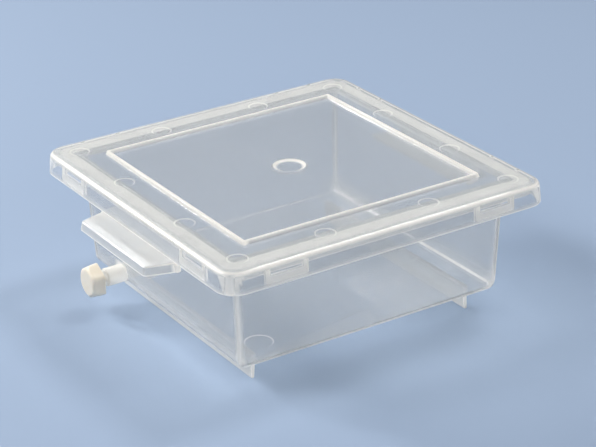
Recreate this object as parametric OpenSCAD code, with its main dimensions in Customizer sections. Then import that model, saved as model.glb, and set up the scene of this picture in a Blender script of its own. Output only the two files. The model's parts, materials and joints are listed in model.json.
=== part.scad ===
// Square lidded box for staining and washing flat gels and slides.
// A moulded tank stands on two runner feet. It has a turned-down rim, a carrying ledge on two sides
// and a drain spout with a screw cap. The lift-off lid has a raised rib frame and a latched skirt.
// Millimetres, +Z up, the surface it stands on at z = 0, the tank centred on the Z axis, drain to -Y.

/* [Tank] */
// Height of the rim above the surface that the box stands on
tank_h = 97.3; // [70:0.1:140]
// Outer length of the floor along X
floor_x = 195.8; // [150:0.2:208]
// Outer length of the floor along Y
floor_y = 205.8; // [160:0.2:214]
// Draft of the two walls that face X, in degrees
draft_x = 3.15; // [0.5:0.05:4]
// Draft of the two walls that face Y, in degrees
draft_y = 2.5; // [0.5:0.05:4]
// Thickness of the walls
wall_t = 2.2; // [1.4:0.1:3]
// Thickness of the floor
floor_t = 2.2; // [1.4:0.1:3.5]
// Outer radius of the upright corners at the rim
corner_r = 3; // [2:0.1:8]
// Outer radius along the floor's two edges under the walls that face X
toe_r = 1.5; // [0.8:0.1:3]
// Outer radius between the floor and the two walls that face Y
heel_r = 13; // [6:0.5:20]
// Radius inside the tank's upright and toe corners
inner_r = 0.8; // [0.4:0.1:2]
// Diameter of the shallow mark in the floor
floor_mark_d = 19; // [8:0.5:30]
// Distance of the floor mark from both centre lines
floor_mark_at = 74; // [40:1:80]

/* [Rim] */
// Outer side of the square rim
rim_side = 241; // [225:0.5:290]
// Plan radius of the rim's corners
rim_corner_r = 12; // [8:0.5:20]
// Thickness of the rim's flat flange
rim_t = 2.2; // [1.4:0.1:3]
// Thickness of the lip that turns down at the rim's edge
lip_t = 2; // [1.4:0.1:3]
// Height of the rim, from its top to the lip's lower edge
lip_h = 6; // [4:0.1:9]
// Radius of the lead-in from the rim into the tank
lead_in_r = 3; // [1:0.1:5]

/* [Runner feet] */
// Clear height of the floor's underside
foot_h = 16; // [8:0.5:25]
// Distance between the outer faces of the two runners
foot_span = 174.8; // [120:0.2:180]
// Length of each runner
foot_len = 173.2; // [100:0.2:190]
// Thickness of a runner at the floor
foot_root_t = 3.9; // [2.6:0.1:6]
// Thickness of a runner at its lower edge
foot_tip_t = 2.2; // [1.8:0.1:3]
// Radius of a runner's two lower edges
foot_tip_r = 0.5; // [0.2:0.1:0.8]

/* [Carrying ledges] */
// Height of the ledge's top face
ledge_z = 78; // [50:0.5:86]
// Reach of the ledge from the tank's wall
ledge_reach = 33; // [20:0.5:45]
// Width of the ledge along its front edge
ledge_front_w = 87; // [60:1:120]
// Lean of the ledge's two ends, in degrees
ledge_splay = 17.5; // [0:0.5:25]
// Thickness of the ledge and of its lip
ledge_t = 2.2; // [1.4:0.1:3]
// Height of the ledge, from its top face to the lip's lower edge
ledge_lip_h = 6.7; // [5:0.1:12]
// Outward lean of the lip at its lower edge
ledge_flare = 1.2; // [0:0.1:2.5]
// Distance that the end lips run back from the front edge
ledge_lip_run = 20.8; // [10:0.2:26]
// Radius of the ledge's front corners
ledge_corner_r = 2.5; // [1:0.1:5]
// Radius of the round post that closes each end lip
ledge_post_r = 2.4; // [1.5:0.1:4]

/* [Drain] */
// Distance of the drain's axis from the tank's middle, towards -X
drain_x = 57.1; // [0:0.5:75]
// Height of the drain's axis above the floor's underside
drain_rise = 8.3; // [7:0.1:20]
// Radius of the spout's root
spout_r = 6.5; // [5.5:0.1:7]
// Reach of the spout's root from the floor's edge
spout_reach = 14.1; // [8:0.1:25]
// Radius of the threaded neck
neck_r = 5.5; // [5:0.1:6]
// Length of the neck past the spout's root
neck_len = 11.3; // [9.5:0.1:16]
// Radius of the drain's bore
drain_bore_r = 4; // [2.5:0.1:4.4]

/* [Drain cap] */
// Corner radius of the six-sided cap at its open end
cap_r = 13; // [9.5:0.1:16]
// Corner radius of the cap at its closed end
cap_end_r = 11.7; // [9:0.1:15]
// Length of the cap
cap_len = 9.2; // [7:0.1:12]
// Size of the round chamfer on the cap's closed end
cap_chamfer = 0.9; // [0.2:0.1:1.6]
// Thickness of the cap's end wall
cap_end_t = 1.8; // [1:0.1:3]
// Thickness of the sealing washer
seal_t = 1.3; // [0.8:0.1:2]
// Radial gap between the neck and the cap, which the fine thread fills
thread_gap = 0.3; // [0.2:0.05:0.6]
// Radial gap between the washer and the cap
seal_gap = 0.2; // [0.1:0.05:0.4]

/* [Lid] */
// Thickness of the lid's panel
lid_t = 2; // [1.2:0.1:3]
// Thickness of the lid's skirt
skirt_t = 2; // [1.2:0.1:3]
// Gap between the rim and the inside of the skirt
rim_gap = 2.5; // [1.5:0.1:4]
// Height of the skirt, from the panel's top to its lower edge
skirt_h = 15.3; // [10:0.1:22]
// Outward lean of the skirt at its lower edge
skirt_flare = 0.95; // [0:0.05:2]
// Outer radius of the shoulder between panel and skirt
shoulder_r = 4; // [3.2:0.1:6]
// Plan radius of the lid's corners
lid_corner_r = 14; // [8:0.5:24]
// Length of the rib frame along X, between its centre lines
frame_x = 180.8; // [120:0.2:200]
// Length of the rib frame along Y, between its centre lines
frame_y = 183.2; // [120:0.2:200]
// Height of the rib frame above the panel
frame_h = 2.4; // [1:0.1:5]
// Width of the frame's ribs at the panel
frame_w = 3; // [1.5:0.1:6]
// Width of the frame's ribs along their top
frame_top_w = 2.2; // [1:0.1:4]
// Diameter of the gate dish in the lid's middle
gate_d = 22.5; // [12:0.5:40]
// Depth of the gate dish
gate_depth = 1.2; // [0.4:0.1:2.5]
// Diameter of the ejector marks
pin_d = 13.5; // [6:0.5:16]
// Distance of the rows of ejector marks from the lid's centre lines
pin_row = 105.8; // [96:0.1:108]
// Distance of the middle ejector marks from the centre lines
pin_at = 40.4; // [20:0.2:60]
// Depth of the moulding marks in the lid and the floor
mark_depth = 0.4; // [0.2:0.05:0.8]

/* [Latches] */
// Distance of each latch's middle from the middle of its side
latch_at = 81; // [40:0.5:85]
// Distance between the middles of a latch's two ribs
latch_w = 28; // [12:0.5:40]
// Width of a latch's ribs
latch_rib_w = 3.8; // [1.5:0.1:6]
// Height of the pad between the ribs
latch_pad_h = 6.2; // [3:0.1:8]
// Gap between a latch and the rim's lip
latch_gap = 0.3; // [0.2:0.05:0.6]

/* [Hidden] */
$fn = 96;
// Facets of the small rounds and of the heels, which are joined by a hull
HULL_FN = 32;
HEEL_FN = 64;
// Flats of the drain cap
CAP_SIDES = 6;
// Overlap that joins two solids of one moulding
JOIN = 0.5;
// Thickness of a hull's end slices
SLICE = 0.01;
// How far a cut runs past the face that it opens
PAST = 1;
CLEAR = [0.86, 0.92, 0.96, 0.45];
MILKY = [0.92, 0.95, 0.97, 0.55];
CREAM = [0.93, 0.92, 0.86];
GREY = [0.35, 0.36, 0.37];

rim_half = rim_side / 2;
lid_half = rim_half + rim_gap + skirt_t;
lid_z = tank_h + lid_t;
lid_low = lid_z - skirt_h;
drain_z = foot_h + drain_rise;
spout_y = floor_y / 2 + spout_reach;
neck_y = spout_y + neck_len;
cap_bore_r = neck_r + thread_gap;
ledge_wall = wall_half(floor_y, draft_y, ledge_z);
ledge_y = ledge_wall + ledge_reach;
// How far the ledge's corner moves along the front edge for each millimetre of inset
ledge_k = tan((90 - ledge_splay) / 2);

// Half of the tank's outer size at a height, along the axis that has this floor length and draft
function wall_half(length, draft, z) = length / 2 + (z - foot_h) * tan(draft);
// Outward shift of the ledge's lip at a height
function flare_at(z) = ledge_flare * (ledge_z - z) / ledge_lip_h;

// Copies of one shape at the four corners of a rectangle
module at_corners(half_x, half_y) {
    for (x = [-1, 1], y = [-1, 1])
        translate([x * half_x, y * half_y, 0]) children();
}

// Rectangle with round corners
module round_rect(half_x, half_y, r) {
    at_corners(half_x - r, half_y - r) circle(r);
    square([2 * (half_x - r), 2 * half_y], center = true);
    square([2 * half_x, 2 * (half_y - r)], center = true);
}

// A profile drawn in X (outwards) and Y (up), carried round a rectangle with round corners.
// The profile's zero lies on the corners' centre lines.
module sweep(half_x, half_y, r) {
    for (side = [0 : 3]) {
        out = side % 2 == 0 ? half_x : half_y;
        along = side % 2 == 0 ? half_y : half_x;
        rotate(90 * side) translate([out - r, along - r, 0]) {
            rotate([90, 0, 0]) linear_extrude(2 * (along - r)) children();
            rotate_extrude(angle = 90) children();
        }
    }
}

// Quarter of a disc, between the outward and the upward direction
module quarter_disc(r) {
    intersection() {
        circle(r);
        square(r);
    }
}

// Block with four leaning sides and mitred corners
module frustum(low_x, low_y, top_x, top_y, z, h) {
    intersection() {
        translate([0, max(low_y, top_y), z]) rotate([90, 0, 0]) linear_extrude(2 * max(low_y, top_y))
            polygon([[-low_x, 0], [low_x, 0], [top_x, h], [-top_x, h]]);
        translate([-max(low_x, top_x), 0, z]) rotate([90, 0, 90]) linear_extrude(2 * max(low_x, top_x))
            polygon([[-low_y, 0], [low_y, 0], [top_y, h], [-top_y, h]]);
    }
}

// The drafted block of the tank, drawn in by an inset. Its bottom corners are rings that turn the
// heel about X and the toe about the ring's own section.
module tank_block(inset, bottom, top, heel, toe, upright) {
    heel_y = wall_half(floor_y, draft_y, bottom + heel) - inset - heel;
    toe_x = wall_half(floor_x, draft_x, bottom + toe) - inset - toe;
    top_x = wall_half(floor_x, draft_x, top) - inset - upright;
    top_y = wall_half(floor_y, draft_y, top) - inset - upright;
    hull() {
        translate([0, 0, top - SLICE]) at_corners(top_x, top_y)
            cylinder(h = SLICE, r = upright, $fn = HULL_FN);
        translate([0, 0, bottom + heel]) at_corners(toe_x, heel_y)
            rotate([0, 90, 0]) rotate_extrude($fn = HEEL_FN)
                translate([heel - toe, 0]) circle(toe, $fn = HULL_FN);
    }
}

// Flange and turned-down lip round the tank's mouth
module rim() {
    flat = rim_half - lip_t;
    flat_r = rim_corner_r - lip_t;
    translate([0, 0, tank_h - rim_t]) linear_extrude(rim_t) round_rect(flat, flat, flat_r);
    sweep(rim_half, rim_half, rim_corner_r) {
        translate([flat_r, tank_h - lip_t]) quarter_disc(lip_t);
        translate([flat_r, tank_h - lip_h + lip_t / 2]) square([lip_t, lip_h - 1.5 * lip_t]);
        translate([flat_r + lip_t / 2, tank_h - lip_h + lip_t / 2]) circle(lip_t / 2);
    }
}

// Cutter for the rounded edge that leads from the rim into the tank
module lead_in() {
    r = lead_in_r;
    half_x = wall_half(floor_x, draft_x, tank_h - r) - wall_t + r;
    half_y = wall_half(floor_y, draft_y, tank_h - r) - wall_t + r;
    sweep(half_x, half_y, inner_r + r) difference() {
        translate([0, tank_h - r]) square([inner_r + r, r + PAST]);
        translate([inner_r + r, tank_h - r]) circle(r);
    }
}

// One runner foot along X, with its outer face at y = 0
module runner() {
    r = foot_tip_r;
    top = foot_h + JOIN;
    rotate([90, 0, 90]) translate([0, 0, -foot_len / 2]) linear_extrude(foot_len) {
        polygon([[0, top], [0, r], [-r, 0], [r - foot_tip_t, 0], [-foot_tip_t, r], [-foot_root_t, foot_h],
            [-foot_root_t, top]]);
        translate([-r, r]) circle(r);
        translate([r - foot_tip_t, r]) circle(r);
    }
}

// Thin slice of the ledge's outline at a height, drawn in by an inset, from its front to the wall
module ledge_slice(inset, z, r) {
    back_y = ledge_wall - wall_t / 2;
    back_half = ledge_front_w / 2 - ledge_k * inset + (ledge_y - inset - back_y) * tan(ledge_splay);
    for (x = [-1, 1])
        translate([x * (ledge_front_w / 2 - ledge_k * (inset + r)), -(ledge_y - inset - r), z])
            cylinder(h = SLICE, r = r, $fn = HULL_FN);
    translate([-back_half, -back_y, z]) cube([2 * back_half, SLICE, SLICE]);
}

// Block of the ledge's outline between two heights, leaning outwards as it goes down
module ledge_block(inset, bottom, top, r) {
    hull() {
        ledge_slice(inset - flare_at(top), top - SLICE, r);
        ledge_slice(inset - flare_at(bottom), bottom, r);
    }
}

// Carrying ledge on the wall that faces -Y: a plate with a turned-down lip on three sides
module ledge() {
    low = ledge_z - ledge_lip_h;
    plate_low = ledge_z - ledge_t;
    inner_corner_r = max(ledge_corner_r - ledge_t, inner_r);
    lip_end = ledge_y - ledge_lip_run;
    post_x = ledge_front_w / 2 + ledge_lip_run * tan(ledge_splay) - ledge_k * ledge_t / 2;
    difference() {
        ledge_block(0, low, ledge_z, ledge_corner_r);
        ledge_block(ledge_t, low - PAST, plate_low, inner_corner_r);
        translate([-ledge_y, -lip_end, low - PAST]) cube([2 * ledge_y, lip_end, plate_low - low + PAST]);
    }
    for (x = [-1, 1])
        translate([x * post_x, -lip_end, low]) cylinder(h = ledge_z - low - ledge_t / 2, r = ledge_post_r);
}

// Places a shape drawn along Z onto the drain's axis, at a distance towards -Y
module on_drain(y) {
    translate([-drain_x, -y, drain_z]) rotate([90, 0, 0]) children();
}

// Spout's root and neck, from inside the floor's heel outwards
module spout() {
    root = floor_y / 2 - heel_r;
    on_drain(root) cylinder(h = spout_y - root, r = spout_r);
    on_drain(root) cylinder(h = neck_y - root, r = neck_r);
}

module tank() color(CLEAR) {
    inside = floor_y / 2 - heel_r;
    difference() {
        union() {
            tank_block(0, foot_h, tank_h - rim_t + JOIN, heel_r, toe_r, corner_r);
            rim();
            for (side = [0, 180]) rotate(side) {
                translate([0, foot_span / 2, 0]) runner();
                ledge();
            }
            spout();
        }
        tank_block(wall_t, foot_h + floor_t, tank_h + PAST, heel_r - wall_t, inner_r, inner_r);
        lead_in();
        on_drain(inside) cylinder(h = neck_y - inside + PAST, r = drain_bore_r);
        translate([floor_mark_at, -floor_mark_at, foot_h + floor_t - mark_depth])
            cylinder(h = mark_depth + PAST, d = floor_mark_d);
    }
}

// Rounded shoulder and leaning skirt of the lid, with its lower edge rounded
module skirt() {
    flat_r = lid_corner_r - shoulder_r;
    edge_r = skirt_t / 2;
    edge_z = lid_low + edge_r;
    sweep(lid_half, lid_half, lid_corner_r) {
        translate([flat_r, lid_z - shoulder_r]) difference() {
            quarter_disc(shoulder_r);
            circle(shoulder_r - min(lid_t, skirt_t));
        }
        polygon([[lid_corner_r - skirt_t, lid_z - shoulder_r], [lid_corner_r, lid_z - shoulder_r],
            [lid_corner_r + skirt_flare, edge_z], [lid_corner_r + skirt_flare - skirt_t, edge_z]]);
        translate([lid_corner_r + skirt_flare - edge_r, edge_z]) circle(edge_r);
    }
}

// Two ribs and a pad inside the skirt, on the side that faces +X, about y = 0
module latch() {
    face = rim_half + latch_gap;
    back = lid_half - skirt_t / 2;
    for (y = [-1, 1])
        translate([face, (y * latch_w - latch_rib_w) / 2, lid_low + skirt_t / 2])
            cube([back - face, latch_rib_w, tank_h - lid_low - skirt_t / 2 + JOIN]);
    translate([face, -latch_w / 2, lid_low + skirt_t / 2]) cube([back - face, latch_w, latch_pad_h]);
}

// Raised square frame on the lid's panel
module rib_frame() {
    low = frame_w / 2;
    top = frame_top_w / 2;
    half_x = frame_x / 2;
    half_y = frame_y / 2;
    difference() {
        frustum(half_x + low, half_y + low, half_x + top, half_y + top, lid_z - JOIN, frame_h + JOIN);
        frustum(half_x - low, half_y - low, half_x - top, half_y - top, lid_z - JOIN, frame_h + JOIN);
    }
}

module lid() color(MILKY) {
    flat = lid_half - shoulder_r;
    difference() {
        union() {
            translate([0, 0, tank_h]) linear_extrude(lid_t) round_rect(flat, flat, lid_corner_r - shoulder_r);
            skirt();
            rib_frame();
            for (side = [0 : 3], y = [-1, 1]) rotate(90 * side) translate([0, y * latch_at, 0]) latch();
            translate([0, 0, tank_h - gate_depth]) cylinder(h = gate_depth + JOIN, d = gate_d + lid_t);
        }
        translate([0, 0, lid_z - gate_depth])
            cylinder(h = gate_depth + SLICE, d1 = gate_d - 2 * gate_depth, d2 = gate_d);
        for (side = [0 : 3], along = [-1, 1]) rotate(90 * side) {
            translate([pin_row, along * pin_at, lid_z - mark_depth]) ejector_mark();
            if (along > 0) translate([pin_row, pin_row, lid_z - mark_depth]) ejector_mark();
        }
    }
}

// Shallow round cutter of one ejector mark
module ejector_mark() {
    cylinder(h = mark_depth + PAST, d = pin_d);
}

// Six-sided screw cap, open towards the tank
module drain_cap() color(CREAM) {
    end_y = neck_y + seal_t + cap_end_t;
    on_drain(end_y - cap_len) difference() {
        intersection() {
            rotate(30) cylinder(h = cap_len, r1 = cap_r, r2 = cap_end_r, $fn = CAP_SIDES);
            // round chamfer of the closed end
            cylinder(h = cap_len, r1 = cap_r + cap_len - cap_chamfer, r2 = cap_end_r - cap_chamfer);
        }
        translate([0, 0, -PAST]) cylinder(h = cap_len - cap_end_t + PAST, r = cap_bore_r);
    }
}

// Sealing washer between the neck's end and the cap's end wall
module cap_seal() color(GREY) {
    on_drain(neck_y) cylinder(h = seal_t, r = cap_bore_r - seal_gap);
}

tank();
lid();
drain_cap();
cap_seal();
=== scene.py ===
"""Studio scene of a square lidded staining box with runner feet, carrying ledges and a capped drain.

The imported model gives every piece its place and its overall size. The tank, the lid and the drain cap are
dressed here as smooth mouldings with rounded edges, worked out as stacks of rounded outlines.
"""

from __future__ import annotations

import json
import logging
import math
from collections.abc import Callable
from dataclasses import dataclass, field
from enum import Enum

import bpy
import numpy as np
from bpy.types import bpy_prop_collection, ID, Material, Mesh, NodeSocket, NodeTree, Object
from mathutils import Matrix, Vector

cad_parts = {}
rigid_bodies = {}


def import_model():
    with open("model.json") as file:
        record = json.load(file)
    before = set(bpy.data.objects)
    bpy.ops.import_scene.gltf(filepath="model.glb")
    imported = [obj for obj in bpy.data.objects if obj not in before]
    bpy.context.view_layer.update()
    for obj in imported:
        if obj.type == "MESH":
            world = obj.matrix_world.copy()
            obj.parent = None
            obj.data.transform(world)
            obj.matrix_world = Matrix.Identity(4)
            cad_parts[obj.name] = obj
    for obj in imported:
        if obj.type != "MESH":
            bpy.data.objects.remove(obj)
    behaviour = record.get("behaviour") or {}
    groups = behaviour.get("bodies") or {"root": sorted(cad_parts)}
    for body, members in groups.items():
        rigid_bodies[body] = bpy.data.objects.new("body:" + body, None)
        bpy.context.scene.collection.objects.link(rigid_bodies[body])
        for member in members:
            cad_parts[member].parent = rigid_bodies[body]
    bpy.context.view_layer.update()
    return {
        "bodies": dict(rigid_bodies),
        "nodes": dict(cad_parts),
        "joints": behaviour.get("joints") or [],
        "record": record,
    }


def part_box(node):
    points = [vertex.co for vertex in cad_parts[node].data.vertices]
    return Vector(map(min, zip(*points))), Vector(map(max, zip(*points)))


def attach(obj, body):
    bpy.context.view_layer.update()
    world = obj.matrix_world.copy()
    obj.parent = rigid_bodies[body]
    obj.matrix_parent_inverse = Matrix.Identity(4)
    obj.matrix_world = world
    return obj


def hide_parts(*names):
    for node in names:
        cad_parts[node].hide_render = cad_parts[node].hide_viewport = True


LOG = logging.getLogger("staining_box")
MM = 0.001
HAZE_AND_HIGHLIGHT = "haze_and_highlight"
OUTWARDS = Matrix.Rotation(math.pi / 2, 4, "X")  # turns Z to the drain's direction, -Y
Array = np.ndarray
Sections = list[Array]  # half X, half Y, corner radius and Z of rounded outlines, each as an array
Outline = tuple[float, float, float]  # half X, half Y and corner radius of one of them
OVERSHOOT = 2.0  # millimetres that a cutter stands out of what it cuts


class Cut(Enum):
    """How a second solid changes the first."""

    JOIN = "UNION"
    REMOVE = "DIFFERENCE"


class Side(Enum):
    """The tank's two ledge sides, as quarter turns from the rear one."""

    FRONT = 2
    REAR = 0


# ---- Surfaces ----


def rectangle(half_x: Array, half_y: Array) -> Array:
    """Corners of a stack of rectangles about the origin, anticlockwise from +X -Y.

    Args:
        half_x: half length along X of each rectangle.
        half_y: half length along Y of each rectangle.

    Returns:
        An array of rectangles x 4 corners x 2.
    """
    signs = np.array([[1, -1], [1, 1], [-1, 1], [-1, -1]], float)
    return signs * np.stack([half_x, half_y], -1)[:, None, :]


def regular(sides: int, apothem: Array, turn: float = 0.0) -> Array:
    """Corners of a stack of regular polygons about the origin.

    Args:
        sides: number of sides.
        apothem: distance from the centre to a side, for each polygon.
        turn: angle of the first corner, in radians.

    Returns:
        An array of polygons x sides x 2.
    """
    angle = turn + np.arange(sides) * 2 * np.pi / sides
    unit = np.stack([np.cos(angle), np.sin(angle)], -1)
    return apothem[:, None, None] / math.cos(math.pi / sides) * unit


def outlines(corners: Array, radius: Array, height: Array, per_corner: int = 4, per_side: int = 4) -> Array:
    """Stack of convex polygons with rounded corners, each at its own height.

    An arc's centre is the corner moved inwards along its mitre until it lies one radius from both edges, and
    a point of the arc at angle t is centre + radius * (cos t, sin t), with t running from the normal of the
    edge before the corner to the normal of the edge after it. A straight is divided at
    (1 - cos(pi * i / n)) / 2 of its length, so more finely towards its ends.

    Args:
        corners: rings x corners x 2, anticlockwise.
        radius: corner radius of each ring.
        height: Z of each ring.
        per_corner: steps along each arc.
        per_side: steps along each straight.

    Returns:
        Points as rings x points x 3.
    """
    into = corners - np.roll(corners, 1, axis=1)
    into = into / np.linalg.norm(into, axis=-1, keepdims=True)
    out = np.roll(into, -1, axis=1)
    normal_in = np.stack([into[..., 1], -into[..., 0]], -1)
    normal_out = np.stack([out[..., 1], -out[..., 0]], -1)
    dot = (normal_in * normal_out).sum(axis=-1, keepdims=True)
    cross = normal_in[..., 0] * normal_out[..., 1] - normal_in[..., 1] * normal_out[..., 0]
    ring_radius = np.broadcast_to(np.atleast_1d(radius).astype(float), corners.shape[:1])[:, None, None]
    centre = corners - ring_radius * (normal_in + normal_out) / (1 + dot)
    start = np.arctan2(normal_in[..., 1], normal_in[..., 0])
    turn = np.arctan2(cross, dot[..., 0])
    angle = start[..., None] + turn[..., None] * np.linspace(0, 1, per_corner + 1)
    arc = centre[:, :, None, :] + ring_radius[..., None] * np.stack([np.cos(angle), np.sin(angle)], -1)
    share = (1 - np.cos(np.arange(1, per_side) * np.pi / per_side))[:, None] / 2
    straight = arc[:, :, -1:, :] * (1 - share) + np.roll(arc[:, :, :1, :], -1, axis=1) * share
    ring = np.concatenate([arc, straight], axis=2).reshape(len(corners), -1, 2)
    z = np.broadcast_to(height[:, None, None], ring.shape[:2] + (1,))
    return np.concatenate([ring, z], -1)


def arc_steps(start: float, end: float, steps: int) -> Array:
    """Angles from start to end in degrees, as radians, both ends counted."""
    return np.radians(np.linspace(start, end, steps + 1))


def mesh_of(rings: Array, placing: Matrix | None = None) -> Mesh:
    """Closed mesh over a stack of rings, in metres.

    Quads join each ring to the next, and one flat face closes each end. Rings that run anticlockwise and rise
    give faces that point outwards.

    Args:
        rings: rings x points x 3, in millimetres.
        placing: where the stack goes, in millimetres.

    Returns:
        The mesh.
    """
    stack, around = rings.shape[:2]
    ring, starts = np.arange(around), np.arange(stack)[:, None] * around
    here, there = starts[:-1] + ring, starts[:-1] + np.roll(ring, -1)
    quads = np.stack([here, there, there + around, here + around], -1).reshape(-1, 4)
    faces = [*quads.tolist(), ring[::-1].tolist(), (starts[-1] + ring).tolist()]
    mesh = bpy.data.meshes.new("shell")
    mesh.from_pydata((rings.reshape(-1, 3) * MM).tolist(), [], faces)
    if placing is not None:
        placing = placing.copy()
        placing.translation = placing.translation * MM
        mesh.transform(placing)
    mesh.update()
    return mesh


def read(items: bpy_prop_collection, name: str, width: int = 1) -> Array:
    """One property of all the items of a mesh, as whole numbers, or as rows of decimals if it is wider."""
    values = np.zeros(len(items) * width, np.int32 if width == 1 else np.float32)
    items.foreach_get(name, values)
    return values if width == 1 else values.reshape(-1, width)


def linked(name: str, data: ID) -> Object:
    """A new object with this data, in the scene."""
    made = bpy.data.objects.new(name, data)
    bpy.context.scene.collection.objects.link(made)
    return made


def solid(name: str, *meshes: Mesh) -> Object:
    """Object that holds one or more closed meshes, which are joined as they lie.

    Args:
        name: the object's name.
        meshes: closed meshes that don't overlap each other.

    Returns:
        The object, linked to the scene.
    """
    points = [read(m.vertices, "co", 3) for m in meshes]
    offsets = np.cumsum([0] + [len(p) for p in points])
    faces = [[i + int(o) for i in f.vertices] for m, o in zip(meshes, offsets) for f in m.polygons]
    mesh = bpy.data.meshes.new(name)
    mesh.from_pydata(np.vstack(points).tolist(), [], faces)
    for m in meshes:
        bpy.data.meshes.remove(m)
    return linked(name, mesh)


def change(base: Object, tool: Object, how: Cut) -> None:
    """Joins a solid to the base or takes it out of the base, and deletes it.

    Args:
        base: the closed solid that changes.
        tool: the closed solid that changes it.
        how: join or remove.
    """
    modifier = base.modifiers.new("change", "BOOLEAN")
    modifier.operation, modifier.solver, modifier.object = how.value, "MANIFOLD", tool
    bpy.context.view_layer.update()
    changed = bpy.data.meshes.new_from_object(base.evaluated_get(bpy.context.evaluated_depsgraph_get()))
    base.modifiers.clear()
    base.data = changed
    bpy.data.objects.remove(tool)


def smooth(piece: Object, sharp_deg: float = 32.0) -> None:
    """Shades a moulding smoothly over its rounds, with flat faces kept flat.

    Args:
        piece: the moulding.
        sharp_deg: edges that turn more than this stay sharp.
    """
    piece.data.shade_smooth()
    piece.data.set_sharp_from_angle(angle=math.radians(sharp_deg))
    weighted = piece.modifiers.new("flat faces stay flat", "WEIGHTED_NORMAL")
    weighted.keep_sharp, weighted.weight = True, 80


def set_haze_and_highlight(piece: Object, rule: Callable[[Array, Array], Array], pull: float = 0.12) -> None:
    """Stores how milky the plastic looks, with some painted highlights in it, at each corner of each face.

    A corner's value is the rule's at vertex + pull * (face centre - vertex). So a narrow face keeps its own
    value up to its edge, and a wide face beside it doesn't take it over.

    Args:
        piece: the moulding.
        rule: gives one value from 0 to 1 from points and their faces' centres, in millimetres.
        pull: how far a corner's point moves towards its face's centre.
    """
    mesh = piece.data
    vertex = read(mesh.vertices, "co", 3)[read(mesh.loops, "vertex_index")].astype(float)
    centre = np.repeat(read(mesh.polygons, "center", 3), read(mesh.polygons, "loop_total"), axis=0)
    haze_and_highlight = rule((vertex + pull * (centre - vertex)) / MM, centre / MM)
    layer = mesh.attributes.new(HAZE_AND_HIGHLIGHT, "FLOAT", "CORNER")
    layer.data.foreach_set("value", np.clip(haze_and_highlight, 0, 1).astype(np.float32))


def near(distance: Array, reach: float) -> Array:
    """1 at no distance, falling smoothly to 0 at the reach: cos of a quarter turn, squared."""
    share = np.clip(np.abs(distance) / reach, 0, 1)
    return np.cos(share * np.pi / 2) ** 2


# ---- Finishes ----


def linear(hex_code: str) -> tuple[float, float, float, float]:
    """Linear colour of an sRGB hex code such as 'e8eef2'."""
    srgb = np.array([int(hex_code[i : i + 2], 16) / 255 for i in (0, 2, 4)])
    value = np.where(srgb <= 0.04045, srgb / 12.92, ((srgb + 0.055) / 1.055) ** 2.4)
    return (*value.tolist(), 1.0)


def add(
    tree: NodeTree, kind: str, inputs: dict | None = None, out: str | int = 0, **settings: str
) -> NodeSocket | None:
    """Adds one node to a material.

    Args:
        tree: the material's nodes.
        kind: the node's type, without the ShaderNode that all their names start with.
        inputs: for each input, by name or number, a value or the output socket that feeds it.
        out: which output to give back.
        settings: the node's own properties.

    Returns:
        The output, or None if the node has none.
    """
    node = tree.nodes.new("ShaderNode" + kind)
    for key, value in settings.items():
        setattr(node, key, value)
    for key, value in (inputs or {}).items():
        if isinstance(value, NodeSocket):
            tree.links.new(value, node.inputs[key])
        else:
            node.inputs[key].default_value = value
    return node.outputs[out] if node.outputs else None


class Finish:
    """A named finish. Each kind of plastic, rubber or paper adds the nodes of its own skin."""

    name: str

    def skin(self, tree: NodeTree) -> NodeSocket:
        """Adds the nodes and gives back the shader that they end in."""
        raise NotImplementedError

    def material(self) -> Material:
        """Builds the material."""
        material = bpy.data.materials.new(self.name)
        material.use_nodes = True
        tree = material.node_tree
        tree.nodes.clear()
        add(tree, "OutputMaterial", {"Surface": self.skin(tree)})
        return material


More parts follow.
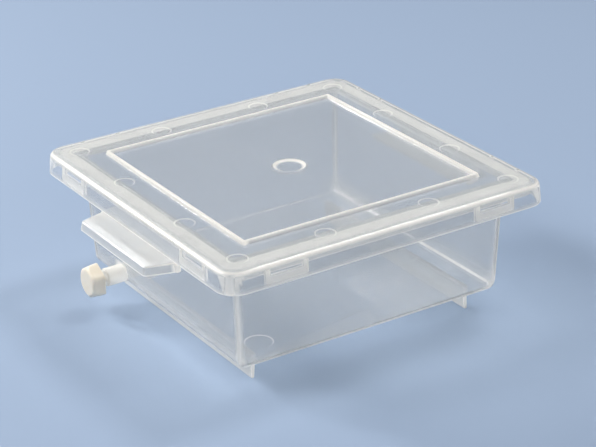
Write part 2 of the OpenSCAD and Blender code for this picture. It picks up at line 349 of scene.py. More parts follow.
@dataclass(frozen=True)
class NaturalPolypropylene(Finish):
    """Undyed polypropylene, injection moulded in a polished tool.

    The eye sees a clear but slightly milky wall: what lies behind shows through a pale veil, which thickens
    to white along edges and ribs, where more plastic lies in the line of sight. In a few places the same veil
    carries a painted highlight. The surface is glossy with a faint orange peel, and handling has left
    hairline scuffs.
    """

    name: str
    tint: str = "fdfdfd"
    thin_milk: str = "c0c4c8"
    thick_milk: str = "fffbf4"
    shadow: str = "e2e2e1"
    ior: float = 1.49
    gloss_roughness: float = 0.02
    scuffed_roughness: float = 0.08
    veil: float = 0.22
    edge_veil: float = 0.97
    glow_through: float = 0.36
    peel_mm: float = 5.0
    peel_depth_mm: float = 0.12
    scuff_mm: float = 38.0

    def skin(self, tree: NodeTree) -> NodeSocket:
        """Mixes clear and milky plastic by the haze attribute. A lamp's light passes almost undimmed."""
        place = add(tree, "TexCoord", out="Object")
        scuff, peel = (
            add(tree, "TexNoise", {"Vector": place, "Scale": 1 / (size * MM), "Detail": detail})
            for size, detail in ((self.scuff_mm, 4.0), (self.peel_mm, 1.0))
        )
        rough = add(tree, "MapRange", {
            "Value": scuff, "From Min": 0.45, "From Max": 0.75,
            "To Min": self.gloss_roughness, "To Max": self.scuffed_roughness,
        })
        bump = add(tree, "Bump", {"Height": peel, "Strength": 0.05, "Distance": self.peel_depth_mm * MM})
        # the haze attribute is milkiness, with a few painted highlights stored in it
        haze_and_highlight = add(tree, "Attribute", out="Fac", attribute_name=HAZE_AND_HIGHLIGHT)
        thick = add(tree, "MapRange", {"Value": haze_and_highlight, "To Min": self.veil, "To Max": self.edge_veil})
        colours = {0: haze_and_highlight, 6: linear(self.thin_milk), 7: linear(self.thick_milk)}
        milk_colour = add(tree, "Mix", colours, 2, data_type="RGBA")
        gloss = {"IOR": self.ior, "Roughness": rough, "Normal": bump}
        clear, front = (
            add(tree, "BsdfPrincipled", {"Base Color": colour, "Transmission Weight": share, **gloss})
            for colour, share in ((linear(self.tint), 1.0), (milk_colour, 0.0))
        )
        through = add(tree, "BsdfTranslucent", {"Color": milk_colour})
        milk = add(tree, "MixShader", {0: self.glow_through, 1: front, 2: through})
        body = add(tree, "MixShader", {0: thick, 1: clear, 2: milk})
        lamp_ray = add(tree, "LightPath", out="Is Shadow Ray")
        window = add(tree, "BsdfTransparent", {"Color": linear(self.shadow)})
        return add(tree, "MixShader", {0: lamp_ray, 1: body, 2: window})


@dataclass(frozen=True)
class CreamNylon(Finish):
    """Undyed nylon, moulded: a warm cream body with a satin skin that lets a little light in."""

    name: str = "cream nylon"
    body: str = "f1e8d8"
    shade: str = "e4d8c4"
    ior: float = 1.53
    roughness: float = 0.34
    grain_mm: float = 1.6
    grain_depth_mm: float = 0.1
    mottle_mm: float = 7.0
    glow_mm: float = 2.5

    def skin(self, tree: NodeTree) -> NodeSocket:
        """A slow mottle in the colour, and a fine grain in the gloss and the relief."""
        place = add(tree, "TexCoord", out="Object")
        mottle, grain = (
            add(tree, "TexNoise", {"Vector": place, "Scale": 1 / (size * MM), "Detail": detail})
            for size, detail in ((self.mottle_mm, 3.0), (self.grain_mm, 2.0))
        )
        colours = {0: mottle, 6: linear(self.body), 7: linear(self.shade)}
        return add(tree, "BsdfPrincipled", {
            "Base Color": add(tree, "Mix", colours, 2, data_type="RGBA"),
            "Roughness": add(tree, "MapRange", {
                "Value": grain, "To Min": self.roughness - 0.06, "To Max": self.roughness + 0.1,
            }),
            "Normal": add(tree, "Bump", {
                "Height": grain, "Strength": 0.15, "Distance": self.grain_depth_mm * MM,
            }),
            "IOR": self.ior,
            "Subsurface Weight": 0.35,
            "Subsurface Radius": (1.0, 0.8, 0.6),
            "Subsurface Scale": self.glow_mm * MM,
        })


@dataclass(frozen=True)
class SealRubber(Finish):
    """Moulded silicone washer: grey, matt, with fine dusty mottling."""

    name: str = "silicone rubber"
    body: str = "8d8f8e"
    dust: str = "a8aaa8"
    roughness: float = 0.7
    mottle_mm: float = 1.2

    def skin(self, tree: NodeTree) -> NodeSocket:
        """Dust in a fine mottle over the grey."""
        place = add(tree, "TexCoord", out="Object")
        mottle = add(tree, "TexNoise", {
            "Vector": place, "Scale": 1 / (self.mottle_mm * MM), "Detail": 3.0,
        })
        colours = {0: mottle, 6: linear(self.body), 7: linear(self.dust)}
        colour = add(tree, "Mix", colours, 2, data_type="RGBA")
        return add(tree, "BsdfPrincipled", {"Base Color": colour, "Roughness": self.roughness})


@dataclass(frozen=True)
class StudioPaper(Finish):
    """Matt background paper of the studio."""

    name: str = "background paper"
    body: str = "92a3bb"
    roughness: float = 0.85

    def skin(self, tree: NodeTree) -> NodeSocket:
        """One even, matt colour."""
        return add(tree, "BsdfPrincipled", {"Base Color": linear(self.body), "Roughness": self.roughness})


def paint(piece: Object, finish: Finish) -> None:
    """Gives a piece one finish all over."""
    piece.data.materials.clear()
    piece.data.materials.append(finish.material())


def dress(piece: Object, finish: Finish) -> None:
    """Paints a piece with its finish."""
    paint(piece, finish)


# ---- Mouldings ----


@dataclass
class Box:
    """A CAD node's box, in millimetres."""

    low: Array
    high: Array

    @classmethod
    def of(cls, node: str) -> Box:
        """The box of a node at rest."""
        low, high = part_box(node)
        return cls(np.array(low) / MM, np.array(high) / MM)

    @property
    def middle(self) -> Array:
        """The box's centre."""
        return (self.low + self.high) / 2


def spin(quarters: int) -> Matrix:
    """A turn about Z by a number of quarters."""
    return Matrix.Rotation(quarters * math.pi / 2, 4, "Z")


def grown(outline: Outline, grow: Array, z: Array) -> Sections:
    """Sections of one rounded outline, each grown by a distance and at a height of its own.

    Args:
        outline: the outline.
        grow: what is added to all three.
        z: the heights.

    Returns:
        The sections.
    """
    grow, z = np.broadcast_arrays(np.atleast_1d(grow), z)
    return [size + grow for size in outline] + [z]


def level(start: Outline, end: Outline, z: float, steps: int) -> Sections:
    """Sections of a flat ring, evenly spaced between two rounded outlines at one height."""
    share = np.linspace(0, 1, steps)
    return [a + (b - a) * share for a, b in zip(start, end)] + [np.full(steps, z)]


def moulded(parts: list[Sections]) -> Array:
    """Rings for mesh_of through all the sections of a square moulding, one part after another."""
    half_x, half_y, radius, z = np.hstack(parts)
    return outlines(rectangle(half_x, half_y), radius, z, per_corner=12, per_side=12)


def rounded_block(half_x: float, half_y: float, low: float, high: float, edge: float, plan: float) -> Array:
    """Rings of an upright block with rounded edges all round.

    The outline shrinks by edge * (1 - cos t) while its height moves by edge * sin t at either end.

    Args:
        half_x: half length along X.
        half_y: half length along Y.
        low: Z of the lower face.
        high: Z of the upper face.
        edge: radius of the upper and lower edges.
        plan: radius of the upright edges.

    Returns:
        Rings for mesh_of, about the origin.
    """
    t = arc_steps(-90, 0, 4)
    inset = np.hstack([edge * (1 - np.cos(t)), edge * (1 - np.cos(t[::-1]))])
    height = np.hstack([low + edge + edge * np.sin(t), high - edge - edge * np.sin(t[::-1])])
    return outlines(rectangle(half_x - inset, half_y - inset), plan, height)


def turned(profile: Array, steps: int = 48) -> Array:
    """Rings of a body turned about Z: each profile point (radius, z) becomes a circle.

    Args:
        profile: points x 2, from the lower end up, with no zero radius.
        steps: points on each circle.

    Returns:
        Rings for mesh_of.
    """
    angle = np.arange(steps) * 2 * np.pi / steps
    circle = np.stack([np.cos(angle), np.sin(angle), np.zeros(steps)], -1)
    return profile[:, None, :1] * circle + profile[:, None, 1:] * np.array([0.0, 0.0, 1.0])


def dimple(radius: float, lean: float, low: float, high: float, steps: int = 48) -> Array:
    """Rings of a cutter for a shallow round mark, whose side leans outwards on its way up."""
    profile = [[radius - lean, low], [radius + lean, high], [radius + lean + 0.2, low + OVERSHOOT]]
    return turned(np.array(profile), steps)


@dataclass
class TankMoulding:
    """The tank: floor, drafted walls, turned-down rim, runner feet, two carrying ledges and drain spout."""

    wall: float = 2.2
    floor_x: float = 195.8
    floor_y: float = 205.8
    draft_x_deg: float = 3.15
    draft_y_deg: float = 2.5
    foot_h: float = 16.0
    corner_r: float = 3.0
    toe_r: float = 1.5
    heel_r: float = 7.0
    inner_r: float = 0.8
    rim_corner_r: float = 12.0
    rim_t: float = 2.2
    lip_t: float = 2.0
    lip_h: float = 6.0
    lead_in_r: float = 3.0
    crease_r: float = 0.8
    foot_half_x: float = 86.6
    foot_out_y: float = 87.4
    foot_root_t: float = 3.9
    foot_tip_t: float = 2.2
    ledge_top: float = 78.0
    ledge_reach: float = 33.0
    ledge_half_front: float = 43.5
    ledge_splay_deg: float = 17.5
    ledge_t: float = 2.2
    ledge_lip_h: float = 6.7
    ledge_flare: float = 1.2
    ledge_lip_run: float = 20.8
    ledge_corner_r: float = 2.5
    ledge_edge_r: float = 0.9
    ledge_crease_r: float = 0.7
    ledge_post_r: float = 2.4
    ledge_post_tip_r: float = 0.8
    spout_r: float = 6.5
    spout_reach: float = 14.1
    spout_edge_r: float = 0.7
    neck_r: float = 5.5
    neck_len: float = 11.3
    neck_fillet: float = 0.4
    neck_edge_r: float = 0.5
    bore_r: float = 4.0
    thread_pitch: float = 2.0
    thread_depth: float = 0.26
    thread_sunk: float = 0.12
    thread_half_w: float = 0.62
    thread_start: float = 1.6
    floor_mark_r: float = 9.5
    floor_mark_at: float = 74.0
    mark_depth: float = 0.4
    box: Box = field(default_factory=lambda: Box.of("tank"))
    cap_box: Box = field(default_factory=lambda: Box.of("drain_cap"))

    @property
    def rim_half(self) -> float:
        """Half of the square rim's outer side."""
        return self.box.high[0]

    @property
    def top(self) -> float:
        """Height of the rim."""
        return self.box.high[2]

    @property
    def drain(self) -> tuple[float, float]:
        """X and Z of the drain's axis, which the cap is centred on."""
        return self.cap_box.middle[0], self.cap_box.middle[2]

    @property
    def drain_root(self) -> float:
        """How far from the middle the drain starts. It is inside the tank, clear of the heel's inner skin."""
        return self.floor_y / 2 - self.heel_r

    def wall_x(self, z: Array) -> Array:
        """Half of the outer size along X at a height: the floor's half plus the rise times the draft."""
        return self.floor_x / 2 + (np.asarray(z) - self.foot_h) * math.tan(math.radians(self.draft_x_deg))

    def wall_y(self, z: Array) -> Array:
        """Half of the outer size along Y at a height."""
        return self.floor_y / 2 + (np.asarray(z) - self.foot_h) * math.tan(math.radians(self.draft_y_deg))

    def bowl(self, inset: float, bottom: float, top: float, heel: float, toe: float, plan: float) -> Sections:
        """Sections of the drafted bowl from its bottom up.

        Below the toe's radius the half length along X is the wall's less toe - sqrt(toe^2 - (toe - h)^2) at a
        height h over the bottom, and likewise along Y with the heel's radius.

        Args:
            inset: how far inside the outer wall.
            bottom: Z of the bottom.
            top: Z of the last section.
            heel: radius between the bottom and the walls that face Y.
            toe: radius between the bottom and the walls that face X.
            plan: radius of the upright corners at the top.

        Returns:
            The sections.
        """
        toe_z = bottom + toe * (1 - np.cos(arc_steps(0, 90, 5)))
        heel_z = bottom + heel * (1 - np.cos(arc_steps(0, 90, 16)))
        wall_z = np.linspace(bottom + heel, top, 8)
        z = np.unique(np.round(np.hstack([toe_z, heel_z, wall_z]), 4))
        rise = z - bottom
        under_toe = np.clip(toe - rise, 0, toe)
        under_heel = np.clip(heel - rise, 0, heel)
        half_x = self.wall_x(z) - inset - (toe - np.sqrt(toe**2 - under_toe**2))
        half_y = self.wall_y(z) - inset - (heel - np.sqrt(heel**2 - under_heel**2))
        share = np.clip(rise / (top - bottom), 0, 1)
        return [half_x, half_y, toe * (1 - share) + plan * share, z]

    def shell_rings(self) -> Array:
        """Rings of the bare tank, from under the floor, over the rim and down to the inner floor.

        Returns:
            Rings for mesh_of.
        """
        crease, mouth_r, half_lip = self.crease_r, self.lead_in_r, self.lip_t / 2
        under, low, edge_z = self.top - self.rim_t, self.top - self.lip_h, self.top - mouth_r
        outer = self.bowl(0, self.foot_h, under - crease, self.heel_r, self.toe_r, self.corner_r)
        inner_heel, plan_r = self.heel_r - self.wall, self.inner_r
        inner = self.bowl(self.wall, self.foot_h + self.wall, edge_z - 1, inner_heel, plan_r, plan_r)
        wall_x, wall_y, plan = outer[0][-1], outer[1][-1], self.corner_r
        flat, flat_r = self.rim_half - self.lip_t, self.rim_corner_r - self.lip_t
        mouth_x, mouth_y = self.wall_x(edge_z) - self.wall, self.wall_y(edge_z) - self.wall
        rim = (flat, flat, flat_r)
        t, lip, shoulder = arc_steps(0, 90, 4), arc_steps(180, 360, 8), arc_steps(0, 90, 7)
        lead, rise, fall = shoulder[::-1], crease * (1 - np.cos(t)), crease * (1 - np.sin(t))
        return moulded([
            outer,
            grown((wall_x, wall_y, plan), rise, under - fall),
            level((wall_x + 2 * crease, wall_y + 2 * crease, plan + 2 * crease),
                  (flat - crease, flat - crease, flat_r), under, 3),
            grown(rim, -fall, under - rise),
            grown(rim, half_lip * (1 + np.cos(lip)), low + half_lip * (1 + np.sin(lip))),
            grown(rim, self.lip_t * np.cos(shoulder), self.top - self.lip_t * (1 - np.sin(shoulder))),
            level((flat - 1.5, flat - 1.5, flat_r - 1),
                  (mouth_x + mouth_r + 1, mouth_y + mouth_r + 1, plan_r + mouth_r), self.top, 9),
            grown((mouth_x, mouth_y, plan_r), mouth_r * (1 - np.cos(lead)), edge_z + mouth_r * np.sin(lead)),
            [values[::-1] for values in inner],
        ])

    def runner(self, side: Side) -> Mesh:
        """One runner foot: a blade along X with an upright outer face, tapering to a rounded lower edge."""
        tip = self.foot_tip_t * 0.32
        t = arc_steps(-90, 0, 5)
        z = np.hstack([tip * (1 + np.sin(t)), [self.foot_h * 0.5, self.foot_h + 0.6]])
        share = z / self.foot_h
        thick = self.foot_tip_t + (self.foot_root_t - self.foot_tip_t) * share
        inset = np.hstack([tip * (1 - np.cos(t)), [0, 0]])
        corners = rectangle(self.foot_half_x - inset, thick / 2 - inset)
        corners[..., 1] += (self.foot_out_y - thick / 2)[:, None]
        rings = outlines(corners, np.maximum(thick / 2 - inset - 0.1, 0.1) * 0.6, z)
        return mesh_of(rings, spin(side.value))

    def ledge_corners(self, inset: Array) -> Array:
        """Corners of the ledge's outline for the rear side, drawn in by insets, from the wall to its front.

        Each side moves inwards by the inset. The ends lean outwards towards the wall by the splay.
        """
        splay = math.radians(self.ledge_splay_deg)
        wall = self.wall_y(self.ledge_top)
        front, back = wall + self.ledge_reach, np.full_like(inset, wall - self.wall / 2)
        half_front = self.ledge_half_front - inset * math.tan((math.pi / 2 - splay) / 2)
        half_back = half_front + (front - inset - back) * math.tan(splay)
        x = np.stack([half_back, half_front, -half_front, -half_back], -1)
        y = np.stack([back, front - inset, front - inset, back], -1)
        return np.stack([x, y], -1)

    def ledge(self, side: Side) -> Object:
        """One carrying ledge: a plate with a turned-down, slightly flared lip on three sides.

        Args:
            side: the tank's side that it stands on.

        Returns:
            A closed solid whose back lies inside the tank's wall.
        """
        top, low, under = self.ledge_top, self.ledge_top - self.ledge_lip_h, self.ledge_top - self.ledge_t
        edge_r, crease, half_lip = self.ledge_edge_r, self.ledge_crease_r, self.ledge_t / 2
        t, u = arc_steps(0, 180, 8), arc_steps(0, 90, 4)
        z = np.hstack([
            [under - 0.001], under - crease * (1 - np.cos(u)), low + half_lip * (1 - np.sin(t)),
            top - edge_r * (1 - np.sin(u)),
        ])
        inset = np.hstack([
            [self.ledge_t + 5], self.ledge_t + crease * (1 - np.sin(u)), half_lip * (1 + np.cos(t)),
            edge_r * (1 - np.cos(u)),
        ])
        flare = self.ledge_flare * (top - z) / self.ledge_lip_h
        radius = np.clip(self.ledge_corner_r - inset + 0.4, 0.5, None)
        turn = spin(side.value)
        rings = outlines(self.ledge_corners(inset - flare), radius, z, per_corner=6, per_side=8)
        made = solid("ledge", mesh_of(rings, turn))
        end = self.box.high[1] - self.ledge_lip_run - self.ledge_flare
        half_trim = 30.0
        trim = rounded_block(80, half_trim, low - 5, under, 0.01, 0.01)
        where = Matrix.Translation((0, end - half_trim, 0))
        change(made, solid("trim", mesh_of(trim, turn @ where)), Cut.REMOVE)
        splay = math.tan(math.radians(self.ledge_splay_deg))
        post_x = self.ledge_half_front + self.ledge_lip_run * splay - 0.8
        r, tip, arc = self.ledge_post_r, self.ledge_post_tip_r, arc_steps(-80, 0, 5)
        out = np.append(r - tip + tip * np.cos(arc), r)
        up = np.append(low + tip + tip * np.sin(arc), top - half_lip)
        post = turned(np.stack([out, up], -1), 32)
        posts = [mesh_of(post, turn @ Matrix.Translation((x * post_x, end, 0))) for x in (-1, 1)]
        change(made, solid("posts", *posts), Cut.JOIN)
        return made

    def on_drain(self, distance: float) -> Matrix:
        """Placing for a body turned about Z, onto the drain's axis and pointing out of the tank."""
        x, z = self.drain
        return Matrix.Translation((x, -distance, z)) @ OUTWARDS

    def spout(self) -> Object:
        """The drain spout's root, neck and thread, as one closed solid.

        Its inner end lies in the middle of the wall, whose half size there is the wall's less
        bend - sqrt(bend^2 - under^2), with bend the heel's middle radius and under the drop below the bend.
        """
        root = self.drain_root
        shoulder = self.floor_y / 2 + self.spout_reach - root
        end = shoulder + self.neck_len
        t = arc_steps(0, 90, 5)
        edge, fillet, mouth = self.spout_edge_r, self.neck_fillet, self.neck_edge_r
        profile = np.vstack([
            [[self.spout_r, 0.0]],
            np.stack([self.spout_r - edge * (1 - np.cos(t)), shoulder - edge * (1 - np.sin(t))], -1),
            [[self.neck_r + fillet, shoulder], [self.neck_r, shoulder + fillet]],
            np.stack([self.neck_r - mouth * (1 - np.cos(t)), end - mouth * (1 - np.sin(t))], -1),
        ])
        rings = turned(profile)
        height = self.drain[1] + rings[0, :, 1]
        bend = self.heel_r - self.wall / 2
        under = np.clip(self.foot_h + self.heel_r - height, 0, bend)
        rings[0, :, 2] = self.wall_y(height) - self.wall / 2 - bend + np.sqrt(bend**2 - under**2) - root
        made = solid("spout", mesh_of(rings, self.on_drain(root)))
        thread = mesh_of(self.thread_rings(), self.on_drain(root + shoulder))
        change(made, solid("thread", thread), Cut.JOIN)
        return made

    def thread_rings(self) -> Array:
        """Rings of the neck's thread: a rounded ridge carried along a helix.

        The ridge's section is an ellipse about a point (radius, z) with z = start + pitch * turns, and its
        size fades in and out over the first and last fifth of a turn by a sine.
        """
        turns = (self.neck_len - 2 * self.thread_start) / self.thread_pitch
        along = np.linspace(0, turns, int(turns * 40))
        section = np.arange(10) * 2 * np.pi / 10
        size = np.sin(np.clip(np.minimum(along, turns - along) / 0.2, 0.05, 1) * np.pi / 2)
        radius = self.neck_r - self.thread_sunk + size[:, None] * (self.thread_depth + 0.1) * np.cos(section)
        angle = along * 2 * np.pi
        z = self.thread_start + along[:, None] * self.thread_pitch
        z = z - size[:, None] * self.thread_half_w * np.sin(section)
        return np.stack([radius * np.cos(angle)[:, None], radius * np.sin(angle)[:, None], z], -1)

    def build(self) -> Object:
        """Builds the whole moulding.

        Returns:
            One closed solid.
        """
        tank = solid("tank_moulding", mesh_of(self.shell_rings()))
        change(tank, solid("runners", *[self.runner(side) for side in Side]), Cut.JOIN)
        for side in Side:
            change(tank, self.ledge(side), Cut.JOIN)
        change(tank, self.spout(), Cut.JOIN)
        length = self.spout_reach + self.heel_r + self.neck_len
        bore = turned(np.array([[self.bore_r, 0.0], [self.bore_r, length + OVERSHOOT]]), 40)
        low = self.foot_h + self.wall - self.mark_depth
        mark = dimple(self.floor_mark_r, 0.4, low, low + self.mark_depth, 56)
        spot = Matrix.Translation((self.floor_mark_at, -self.floor_mark_at, 0))
        cuts = solid("cuts", mesh_of(bore, self.on_drain(self.drain_root)), mesh_of(mark, spot))
        change(tank, cuts, Cut.REMOVE)
        set_haze_and_highlight(tank, self.haze_and_highlight_at)
        smooth(tank)
        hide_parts("tank")
        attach(tank, "tank")
        return tank

    def haze_and_highlight_at(self, p: Array, c: Array) -> Array:
        """How milky each point looks, with a painted highlight along the heel's inner bend.

        The veil thickens towards the rim's lip, the lead-in, the floor's edges, the feet and the ledges. A
        thin white line of it along the middle of the heel's inner bend is a painted highlight.
        Each term is a strength times near(distance from a line, reach), in millimetres or for the heel's
        bend in degrees, and the comparisons keep it on its own form.

        Args:
            p: points x 3, in millimetres.
            c: for each point the centre of its face, likewise.

        Returns:
            One value for each point.
        """
        top, foot, heel_r, ledge_top = self.top, self.foot_h, self.heel_r, self.ledge_top
        x, y, z = np.abs(p[:, 0]), np.abs(p[:, 1]), p[:, 2]
        over_x, over_y = x - self.wall_x(z), y - self.wall_y(z)
        half = np.maximum(x, y)
        lip = near(z - top + self.lip_h, 2.1) * (half > self.rim_half - self.lip_t - 0.5)
        flange = 0.42 * np.clip(np.maximum(x - self.rim_half + 13.6, y - self.rim_half + 11.4), 0, 1)
        flange = flange * (z > top - self.rim_t - 0.5)
        lead = 0.25 * near(z - top, 4.0) * (np.maximum(over_x, over_y) < 1.2)
        corner = 0.85 * near(np.minimum(over_x, over_y), 5.0) * (np.maximum(over_x, over_y) < 0.6)
        corner = corner * (z > foot) * (z < top - self.rim_t)
        heel = 0.3 * near(z - foot - 4, 13.0) * near(over_y, 16.0) * (over_x < 0.5)
        # Painted highlight: a thin white line on the heel's inner bend, about 45 degrees round it, where a
        # lamp's reflection lies
        painted_highlight_bend_r = heel_r - self.wall
        turn = np.degrees(np.arctan2(over_y + heel_r, foot + heel_r - z))
        skin = np.hypot(over_y + heel_r, z - foot - heel_r)
        heel = np.maximum(heel, near(turn - 45, 26.0) * (np.abs(skin - painted_highlight_bend_r) < 0.9) * (over_x < -1))
        feet = np.clip(0.38 + (foot - z) / 60, 0, 0.95) * (z < foot - 0.3)
        ends = 0.97 * (z < foot - 0.3) * (x > self.foot_half_x - 0.9)
        toe = 0.85 * near(z - foot, 3.6) * near(over_x, 4.5)
        front = self.box.high[1]
        on_ledge = (over_y > 2) & (z < ledge_top + 1) & (z > ledge_top - 8)
        splay = math.tan(math.radians(self.ledge_splay_deg))
        half_ledge = self.ledge_half_front + (front - y) * splay
        rim = np.maximum(near(y - front, 2.4), near(x - half_ledge, 2.4))
        lower = near(z - ledge_top + self.ledge_lip_h, 2.0)
        top_face = c[:, 2] > ledge_top - self.ledge_t - 0.1
        post = np.hypot(x - half_ledge, y - front + self.ledge_lip_run + self.ledge_flare) < 3.4
        upper = rim * near(z - ledge_top, 2.0)
        ledge = on_ledge * np.maximum.reduce([0.45 * top_face, upper, lower, 0.9 * post])
        drain_x, drain_z = self.drain
        by_drain = np.hypot(p[:, 0] - drain_x, z - drain_z) < self.spout_r + 0.3
        spout = 0.82 * by_drain * (p[:, 1] < -self.floor_y / 2)
        spot = np.hypot(c[:, 0] - self.floor_mark_at, c[:, 1] + self.floor_mark_at) - self.floor_mark_r
        sunk = np.abs(c[:, 2] - foot - self.wall + self.mark_depth / 2) < 0.15
        mark = 0.75 * (np.abs(spot) < 0.5) * sunk
        return np.maximum.reduce([lip, flange, lead, corner, heel, feet, ends, toe, ledge, spout, mark])


@dataclass
class LidMoulding:
    """The lid: panel with a raised rib frame and a gate dish, rounded shoulder, skirt and eight latches."""

    panel_t: float = 2.0
    skirt_t: float = 2.0
    skirt_flare: float = 0.95
    shoulder_r: float = 4.0
    corner_r: float = 14.0
    frame_half_x: float = 90.4
    frame_half_y: float = 91.6
    frame_h: float = 2.4
    frame_w: float = 3.0
    frame_top_w: float = 2.2
    frame_edge_r: float = 0.45
    frame_foot_r: float = 0.35
    gate_r: float = 11.25
    gate_depth: float = 1.2
    gate_edge_r: float = 0.5
    pin_r: float = 6.75
    pin_row: float = 105.8
    pin_at: float = 40.4
    mark_depth: float = 0.4
    latch_at: float = 81.0
    latch_w: float = 28.0
    latch_rib_w: float = 3.8
    latch_pad_h: float = 6.2
    latch_gap: float = 0.3
    latch_edge_r: float = 0.35
    latch_low: float = 0.8
    box: Box = field(default_factory=lambda: Box.of("lid"))
    tank_box: Box = field(default_factory=lambda: Box.of("tank"))

    @property
    def top(self) -> float:
        """Height of the panel's upper face."""
        return self.box.high[2] - self.frame_h

    @property
    def half(self) -> float:
        """Half of the lid's outer side at its shoulder."""
        return self.box.high[0] - self.skirt_flare

    def panel_rings(self) -> Array:
        """Rings from the underside's middle, out over the skirt and back to the upper middle.

        Returns:
            Rings for mesh_of.
        """
        top, under, low = self.top, self.top - self.panel_t, self.box.low[2]
        dish, dish_r, bend = self.gate_depth, self.gate_r, self.gate_edge_r
        boss_r = dish_r + self.panel_t / 2
        outer_r, inner_r, edge = self.shoulder_r, self.shoulder_r - self.panel_t, self.skirt_t / 2
        flat, flat_r = self.half - outer_r, self.corner_r - outer_r
        # A circle is a square outline whose corner radius is all but its half side
        circle, field_edge, square = (0.0, 0.0, -1e-4), (60.0, 60.0, 20.0), (flat, flat, flat_r)
        t, lip = arc_steps(0, 90, 4), arc_steps(180, 360, 8)
        inner, outer = arc_steps(90, 0, 6), arc_steps(0, 90, 10)
        rise, fall, down, lean = 1 - np.cos(t), 1 - np.sin(t), np.array([0.33, 0.66]), self.skirt_flare
        skirt, skirt_z = lean * down, (top - outer_r) * (1 - down) + (low + edge) * down
        return moulded([
            grown(circle, boss_r - 1.2, under - dish),
            grown(circle, boss_r - 0.4 + 0.4 * np.sin(t), under - dish + 0.4 * rise),
            grown(circle, boss_r + bend * rise, under - bend * fall),
            grown(circle, boss_r + 3, under),
            grown(field_edge, 0, under),
            grown((flat - 3, flat - 3, flat_r - 2), 0, under),
            grown(square, inner_r * np.cos(inner), under - inner_r * (1 - np.sin(inner))),
            grown(square, inner_r + skirt, skirt_z),
            grown(square, outer_r - edge + lean + edge * np.cos(lip), low + edge * (1 + np.sin(lip))),
            grown(square, outer_r + skirt[::-1], skirt_z[::-1]),
            grown(square, outer_r * np.cos(outer), top - outer_r * (1 - np.sin(outer))),
            grown((flat - 2.5, flat - 2.5, flat_r - 1.5), 0, top),
            self.frame_sections(),
            grown(field_edge, 0, top),
            grown(circle, dish_r + 3, top),
            grown(circle, dish_r + bend * fall, top - bend * rise),
            grown(circle, dish_r - dish + 0.7 * fall - 0.4, top - dish + bend * fall),
            grown(circle, dish_r - dish - 2, top - dish),
        ])

    def frame_sections(self) -> Sections:
        """Sections over the rib frame, from outside in: up its side, over two small rounds and down."""
        base, crest, r, foot = self.frame_w / 2, self.frame_top_w / 2, self.frame_edge_r, self.frame_foot_r
        top, crest_z = self.top, self.top + self.frame_h
        t = arc_steps(0, 90, 4)
        out = np.hstack([
            [base + 2.0, base + foot, base], crest - r + r * np.cos(t), r - crest - r * np.sin(t),
            [-base, -base - foot, -base - 2.0],
        ])
        z = np.hstack([
            [top, top, top + foot], crest_z - r + r * np.sin(t), crest_z - r + r * np.cos(t),
            [top + foot, top, top],
        ])
        return [self.frame_half_x + out, self.frame_half_y + out, np.maximum(1.1 + out * 0.45, 0.3), z]

    def latches(self) -> Object:
        """The ribs and pads inside the skirt, two latches on each side. Their backs lie in its wall."""
        face, back = self.tank_box.high[0] + self.latch_gap, self.half - self.skirt_t / 2
        middle, half = (face + back) / 2, (back - face) / 2
        low, edge_r = self.box.low[2] + self.latch_low, self.latch_edge_r
        rib = rounded_block(half, self.latch_rib_w / 2, low, self.top - self.panel_t / 2, edge_r, 0.5)
        pad = rounded_block(half, self.latch_w / 2 - 0.2, low + 0.2, low + self.latch_pad_h, edge_r, 0.3)
        ribs, pads = [], []
        for quarter in range(4):
            for side in (-1, 1):
                y = side * self.latch_at
                pads.append(mesh_of(pad, spin(quarter) @ Matrix.Translation((middle, y, 0))))
                for end in (-self.latch_w / 2, self.latch_w / 2):
                    ribs.append(mesh_of(rib, spin(quarter) @ Matrix.Translation((middle, y + end, 0))))
        made = solid("latches", *ribs)
        change(made, solid("pads", *pads), Cut.JOIN)
        return made

    def ejector_marks(self) -> Object:
        """Shallow round cutters of the ejector marks: one at each corner and two along each side."""
        mark = dimple(self.pin_r, 0.5, self.top - self.mark_depth, self.top)
        meshes = [
            mesh_of(mark, spin(quarter) @ Matrix.Translation((self.pin_row, y, 0)))
            for quarter in range(4)
            for y in (self.pin_row, self.pin_at, -self.pin_at)
        ]
        return solid("marks", *meshes)

    def build(self) -> Object:
        """Builds the whole moulding.

        Returns:
            One closed solid.
        """
        lid = solid("lid_moulding", mesh_of(self.panel_rings()))
        change(lid, self.latches(), Cut.JOIN)
        change(lid, self.ejector_marks(), Cut.REMOVE)
        set_haze_and_highlight(lid, self.haze_and_highlight_at)
        smooth(lid)
        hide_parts("lid")
        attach(lid, "lid")
        return lid

    def haze_and_highlight_at(self, p: Array, c: Array) -> Array:
        """How milky each point looks: most at the shoulder, the rib frame, the skirt's edge and the latches.
        On the ribs along the ±X sides the white grows from foot to crest, a painted highlight over the rib's
        milk.

        Its terms are like the tank's.

        Args:
            p: points x 3, in millimetres.
            c: for each point the centre of its face, likewise.

        Returns:
            One value for each point.
        """
        x, y, z = np.abs(p[:, 0]), np.abs(p[:, 1]), p[:, 2]
        half = np.maximum(x, y)
        low, top = self.box.low[2], self.top
        beyond = np.stack([x, y], -1) - (self.half - self.corner_r)
        inside = self.corner_r - np.hypot(*np.clip(beyond, 0, None).T) - np.clip(beyond.max(axis=-1), None, 0)
        shoulder = np.maximum(near(inside - 1.5, 2.4), 0.3 * near(inside - 1.5, 5.0))
        shoulder = shoulder * near(z - top + 0.8, 4.5)
        edge = np.maximum(near(z - low, 1.9), 0.1 * near(z - low - 3, 6.0))
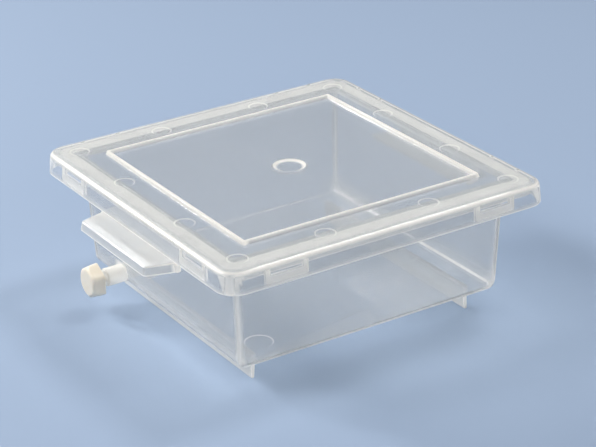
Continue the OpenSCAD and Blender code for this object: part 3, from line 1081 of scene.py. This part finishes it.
        # Painted highlight: the ±X ribs grow whiter from their foot up to their crest
        up = 0.4 + 0.6 * np.clip((z - top) / self.frame_h, 0, 1)
        over_x, over_y = x - self.frame_half_x, y - self.frame_half_y
        frame = np.maximum(up * near(over_x, 3.4) * (over_y < 3), near(over_y, 4.2) * (over_x < 3))
        frame = frame * (z > top + 0.02)
        outwards = half - self.tank_box.high[0] - self.latch_gap
        latch = (half < self.half - self.skirt_t - 0.05) & (outwards > -0.1) & (z < top - self.panel_t)
        wall = (c[:, 2] < top - 0.06) & (c[:, 2] > top - self.gate_depth - 0.1)
        dish = wall * near(np.hypot(x, y) - self.gate_r + 0.9, 3.4)
        row, at = self.pin_row, self.pin_at
        spots = np.array([(row, row), (row, at), (at, row)])
        from_spots = np.abs(c[:, None, :2]) - spots
        away = np.abs(np.hypot(from_spots[..., 0], from_spots[..., 1]) - self.pin_r).min(axis=1)
        mark = (away < 0.6) & (np.abs(c[:, 2] - top + self.mark_depth / 2) < 0.15)
        return np.maximum.reduce([0.97 * shoulder, edge, frame, 0.8 * latch, dish, 0.5 * mark])


@dataclass
class DrainCap:
    """The six-sided screw cap on the drain's neck."""

    end_r: float = 11.7
    open_r: float = 13.0
    bore_r: float = 5.8
    end_t: float = 1.8
    chamfer: float = 2.3
    edge_r: float = 0.5
    box: Box = field(default_factory=lambda: Box.of("drain_cap"))

    def rings(self) -> Array:
        """Rings from the bore's bottom, out over the open end and along the six flats to the closed end.

        The six-sided sections have their corners rounded. Inside, a section whose corner radius equals its
        distance to the sides is a circle.
        """
        length, flat = self.box.high[1] - self.box.low[1], math.cos(math.pi / 6)
        slope, side = (self.open_r - self.end_r) * flat / length, self.open_r * flat
        bore, edge, chamfer, deep = self.bore_r, self.edge_r, self.chamfer, length - self.end_t
        t, u, along = arc_steps(0, 90, 4), arc_steps(0, 75, 6), np.linspace(1.5, length - chamfer, 5)
        high = length - chamfer + chamfer * np.sin(u)
        inside, last = [bore - 1.5, bore, bore, bore + 0.5], side - slope * length - chamfer
        size = np.hstack([
            inside, side - edge + edge * np.sin(t), side - slope * along,
            side - slope * high - chamfer * 0.9 * (1 - np.cos(u)), [last - 0.4],
        ])
        radius = np.hstack([
            inside, 2.2 + np.sin(t) * 0.3, 2.5 + along * 0.1, 3.2 + 5.3 * np.sin(u), [last - 0.5],
        ])
        z = np.hstack([[deep, deep, 0.5, 0.0], edge * (1 - np.cos(t)), along, high, [length]])
        corners = regular(6, size, math.pi / 2)
        return outlines(corners, np.minimum(radius, size - 1e-3), z, per_corner=6)

    def build(self) -> Object:
        """Builds the cap as one closed solid."""
        x, _, z = self.box.middle
        place = Matrix.Translation((x, self.box.high[1], z)) @ OUTWARDS
        cap = solid("drain_cap_moulding", mesh_of(self.rings(), place))
        smooth(cap, 40.0)
        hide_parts("drain_cap")
        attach(cap, "cap")
        return cap


# ---- Studio ----


@dataclass
class Studio:
    """Pale floor, soft lights and the camera."""

    azimuth_deg: float = 57.813
    elevation_deg: float = 24.661
    roll_deg: float = -1.46
    distance: float = 1.438
    lens: float = 127.35
    right_m: float = 0.004894
    up_m: float = -0.042251
    aim_z: float = 0.1017
    floor_half: float = 6.0

    def floor(self) -> None:
        """A wide paper floor."""
        mesh = bpy.data.meshes.new("floor")
        h = self.floor_half
        mesh.from_pydata([(-h, -h, 0), (h, -h, 0), (h, h, 0), (-h, h, 0)], [], [(0, 1, 2, 3)])
        floor = linked("floor", mesh)
        paint(floor, StudioPaper())

    def lights(self) -> None:
        """A key from the upper left, a kicker behind it, a lamp overhead and a weak fill by the camera.

        Each is a square soft box that looks at the part, with its place and side in metres and its power
        in watts.
        """
        aim = Vector((0, 0, 0.05))
        for name, place, side, power, colour in (
            ("key", (-0.8, -1.25, 1.35), 0.6, 20.0, "fffdfa"),
            ("kicker", (-1.69, -0.92, 1.06), 0.32, 25.0, "fffdfa"),
            ("overhead", (0.0, 0.87, 1.57), 0.4, 13.0, "fffefc"),
            ("fill", (1.7, -0.5, 0.6), 1.1, 8.0, "fafcff"),
        ):
            lamp = bpy.data.lights.new(name, "AREA")
            lamp.size, lamp.energy, lamp.color = side, power, linear(colour)[:3]
            made = linked(name, lamp)
            made.location = place
            made.rotation_euler = (aim - Vector(place)).to_track_quat("-Z", "Y").to_euler()
        world = bpy.data.worlds.new("studio")
        world.use_nodes = True
        backdrop = world.node_tree.nodes["Background"]
        backdrop.inputs["Color"].default_value = linear("e6edf5")
        backdrop.inputs["Strength"].default_value = 0.36
        scene = bpy.context.scene
        scene.world = world
        scene.view_settings.view_transform = "Standard"

    def camera(self) -> None:
        """The camera, from its direction, its distance and its roll about the line of sight."""
        az, el, roll = (math.radians(v) for v in (self.azimuth_deg, self.elevation_deg, self.roll_deg))
        back = Vector((math.sin(az) * math.cos(el), -math.cos(az) * math.cos(el), math.sin(el)))
        right = Vector((math.cos(az), math.sin(az), 0))
        up = back.cross(right)
        rolled_right = right * math.cos(roll) + up * math.sin(roll)
        rolled_up = up * math.cos(roll) - right * math.sin(roll)
        data = bpy.data.cameras.new("camera")
        data.lens, data.sensor_width = self.lens, 36.0
        data.clip_start, data.clip_end = 0.05, 50
        made = linked("camera", data)
        place = back * self.distance + right * self.right_m + up * self.up_m + Vector((0, 0, self.aim_z))
        axes = Matrix((rolled_right, rolled_up, back)).transposed().to_4x4()
        made.matrix_world = Matrix.Translation(place) @ axes
        bpy.context.scene.camera = made

    def build(self) -> None:
        """Builds the whole studio."""
        self.floor()
        self.lights()
        self.camera()


def main() -> None:
    """Loads the frame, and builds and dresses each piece."""
    logging.basicConfig(level=logging.INFO, format="%(name)s: %(message)s")
    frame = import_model()
    Studio().build()
    pieces = [
        (TankMoulding().build(), NaturalPolypropylene("natural polypropylene, tank"), "clear_plastic"),
        (LidMoulding().build(), NaturalPolypropylene("natural polypropylene, lid"), "milky_plastic"),
        (DrainCap().build(), CreamNylon(), "cap_plastic"),
    ]
    for piece, finish, slot in pieces:
        dress(piece, finish)
        LOG.info("%s: %d faces", piece.name, len(piece.data.polygons))
    paint(frame["nodes"]["cap_seal"], SealRubber())


if __name__ == "__main__":
    main()
